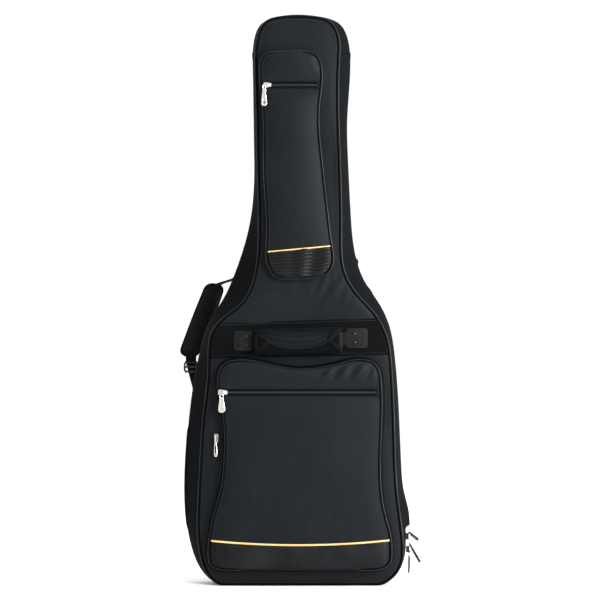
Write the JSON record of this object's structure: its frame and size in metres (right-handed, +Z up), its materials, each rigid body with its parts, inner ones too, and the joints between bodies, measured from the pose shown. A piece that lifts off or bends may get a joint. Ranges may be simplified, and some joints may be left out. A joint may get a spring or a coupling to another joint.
{
  "type": "padded gig bag",
  "caption": "Padded guitar-shaped carrying bag with a zipped cover, two zipped front pockets, a padded handle and shoulder straps.",
  "frame": {"origin": "middle of the flat base, on the surface that the bag stands on", "axes": "+Z up along the bag towards the head, -Y out of the front with the pockets, +X to the right as seen from the front"},
  "size_m": [0.4532, 0.2312, 1.0587],
  "materials": {
    "nylon": "satin",
    "band": "matte",
    "foam": "matte",
    "lining": "matte",
    "piping": "satin",
    "gold": "satin",
    "leatherette": "gloss",
    "zip_tape": "matte",
    "nickel": "polished",
    "black_metal": "gloss",
    "patch": "satin",
    "pad": "matte",
    "webbing": "matte",
    "plastic": "satin"
  },
  "bodies": {
    "root": {"rear_gusset": "nylon", "back_panel": "nylon", "back_foam": "foam", "back_lining": "lining", "rear_piping": "piping", "main_zip_rear": "zip_tape", "neck_cradle": "foam", "end_pad": "foam", "neck_strap_tab": "lining", "strap_anchor_patch": "band", "hang_loop": "nylon", "strap_foot_tab_left": "webbing", "strap_foot_tab_right": "webbing"},
    "cover": {"front_gusset": "nylon", "front_panel": "nylon", "front_foam": "foam", "front_lining": "lining", "front_piping": "piping", "main_zip_front": "zip_tape", "handle_band": "band", "handle_anchor_left": "patch", "handle_anchor_right": "patch", "handle_rivets": "nickel", "body_pocket": "nylon", "body_pocket_piping": "piping", "body_gold_piping": "gold", "body_leather_strip": "leatherette", "body_zip": "zip_tape", "side_zip": "zip_tape", "neck_pocket": "nylon", "neck_pocket_piping": "piping", "neck_gold_piping": "gold", "neck_leather_strip": "leatherette", "neck_zip": "zip_tape"},
    "handle": {"handle_webbing": "webbing", "handle_grip": "pad"},
    "neck_strap": {"neck_strap": "lining"},
    "body_zip_slider": {"body_slider": "nickel"},
    "body_zip_pull": {"body_pull": "nickel"},
    "neck_zip_slider": {"neck_slider": "nickel"},
    "neck_zip_pull": {"neck_pull": "nickel"},
    "side_zip_slider": {"side_slider": "nickel"},
    "side_zip_pull": {"side_pull": "nickel"},
    "main_upper_slider": {"main_slider_upper": "black_metal"},
    "main_upper_pull": {"main_pull_upper": "nickel"},
    "main_lower_slider": {"main_slider_lower": "black_metal"},
    "main_lower_pull": {"main_pull_lower": "nickel"},
    "main_spare_pull": {"main_pull_spare": "nickel"},
    "strap_left": {"strap_pad_left": "pad", "strap_upper_web_left": "webbing", "ladder_lock_left": "plastic"},
    "strap_web_left": {"strap_lower_web_left": "webbing"},
    "strap_right": {"strap_pad_right": "pad", "strap_upper_web_right": "webbing", "ladder_lock_right": "plastic"},
    "strap_web_right": {"strap_lower_web_right": "webbing"}
  },
  "joints": [
    {"name": "cover_hinge", "type": "hinge", "parent": "root", "child": "cover", "pos_m": [-0.213, -0.008, 0], "axis": [0, 0, -1], "range_deg": [0, 170]},
    {"name": "handle_swing", "type": "hinge", "parent": "cover", "child": "handle", "pos_m": [0, -0.064, 0.451], "axis": [-1, 0, 0], "range_deg": [0, 40]},
    {"name": "neck_strap_hinge", "type": "hinge", "parent": "root", "child": "neck_strap", "pos_m": [-0.042, -0.00385, 0.67], "axis": [0, 0, -1], "range_deg": [0, 25]},
    {"name": "body_zip_slide", "type": "slide", "parent": "cover", "child": "body_zip_slider", "axis": [1, 0, 0], "range_m": [0, 0.27]},
    {"name": "body_pull_swing", "type": "hinge", "parent": "body_zip_slider", "child": "body_zip_pull", "pos_m": [-0.142, -0.0965, 0.351], "axis": [-1, 0, 0], "range_deg": [0, 110]},
    {"name": "neck_zip_slide", "type": "slide", "parent": "cover", "child": "neck_zip_slider", "axis": [1, 0, 0], "range_m": [0, 0.084]},
    {"name": "neck_pull_swing", "type": "hinge", "parent": "neck_zip_slider", "child": "neck_zip_pull", "pos_m": [-0.064, -0.0865, 0.92], "axis": [-1, 0, 0], "range_deg": [0, 110]},
    {"name": "side_zip_slide", "type": "slide", "parent": "cover", "child": "side_zip_slider", "axis": [0, 0, -1], "range_m": [0, 0.07]},
    {"name": "side_pull_swing", "type": "hinge", "parent": "side_zip_slider", "child": "side_zip_pull", "pos_m": [-0.1545, -0.0695, 0.267], "axis": [0, 1, 0], "range_deg": [0, 110]},
    {"name": "main_upper_slide", "type": "slide", "parent": "root", "child": "main_upper_slider", "axis": [-0.0522, 0, 0.9986], "range_m": [0, 0.2]},
    {"name": "main_upper_pull_swing", "type": "hinge", "parent": "main_upper_slider", "child": "main_upper_pull", "pos_m": [0.2091, -0.008, 0.094], "axis": [0, -1, 0], "range_deg": [-28, 90]},
    {"name": "main_lower_slide", "type": "slide", "parent": "root", "child": "main_lower_slider", "axis": [0.0522, 0, -0.9986], "range_m": [0, 0.012]},
    {"name": "main_lower_pull_swing", "type": "hinge", "parent": "main_lower_slider", "child": "main_lower_pull", "pos_m": [0.2096, -0.0126, 0.072], "axis": [0, -1, 0], "range_deg": [-25, 60]},
    {"name": "main_spare_pull_swing", "type": "hinge", "parent": "main_lower_slider", "child": "main_spare_pull", "pos_m": [0.2086, -0.0034, 0.057], "axis": [0, -1, 0], "range_deg": [0, 85]},
    {"name": "strap_left_swing", "type": "hinge", "parent": "root", "child": "strap_left", "pos_m": [-0.106, 0.0487, 0.576], "axis": [1, 0, 0], "range_deg": [0, 25]},
    {"name": "strap_web_left_swing", "type": "hinge", "parent": "root", "child": "strap_web_left", "pos_m": [-0.126, 0.0497, 0.116], "axis": [-1, 0, 0], "range_deg": [0, 12]},
    {"name": "strap_right_swing", "type": "hinge", "parent": "root", "child": "strap_right", "pos_m": [0.092, 0.0487, 0.576], "axis": [1, 0, 0], "range_deg": [0, 25]},
    {"name": "strap_web_right_swing", "type": "hinge", "parent": "root", "child": "strap_web_right", "pos_m": [0.118, 0.0497, 0.116], "axis": [-1, 0, 0], "range_deg": [0, 12]}
  ],
  "couplings": [
    {"joint": "strap_web_left_swing", "follows": "strap_left_swing", "ratio": 0.43},
    {"joint": "strap_web_right_swing", "follows": "strap_right_swing", "ratio": 0.43}
  ]
}
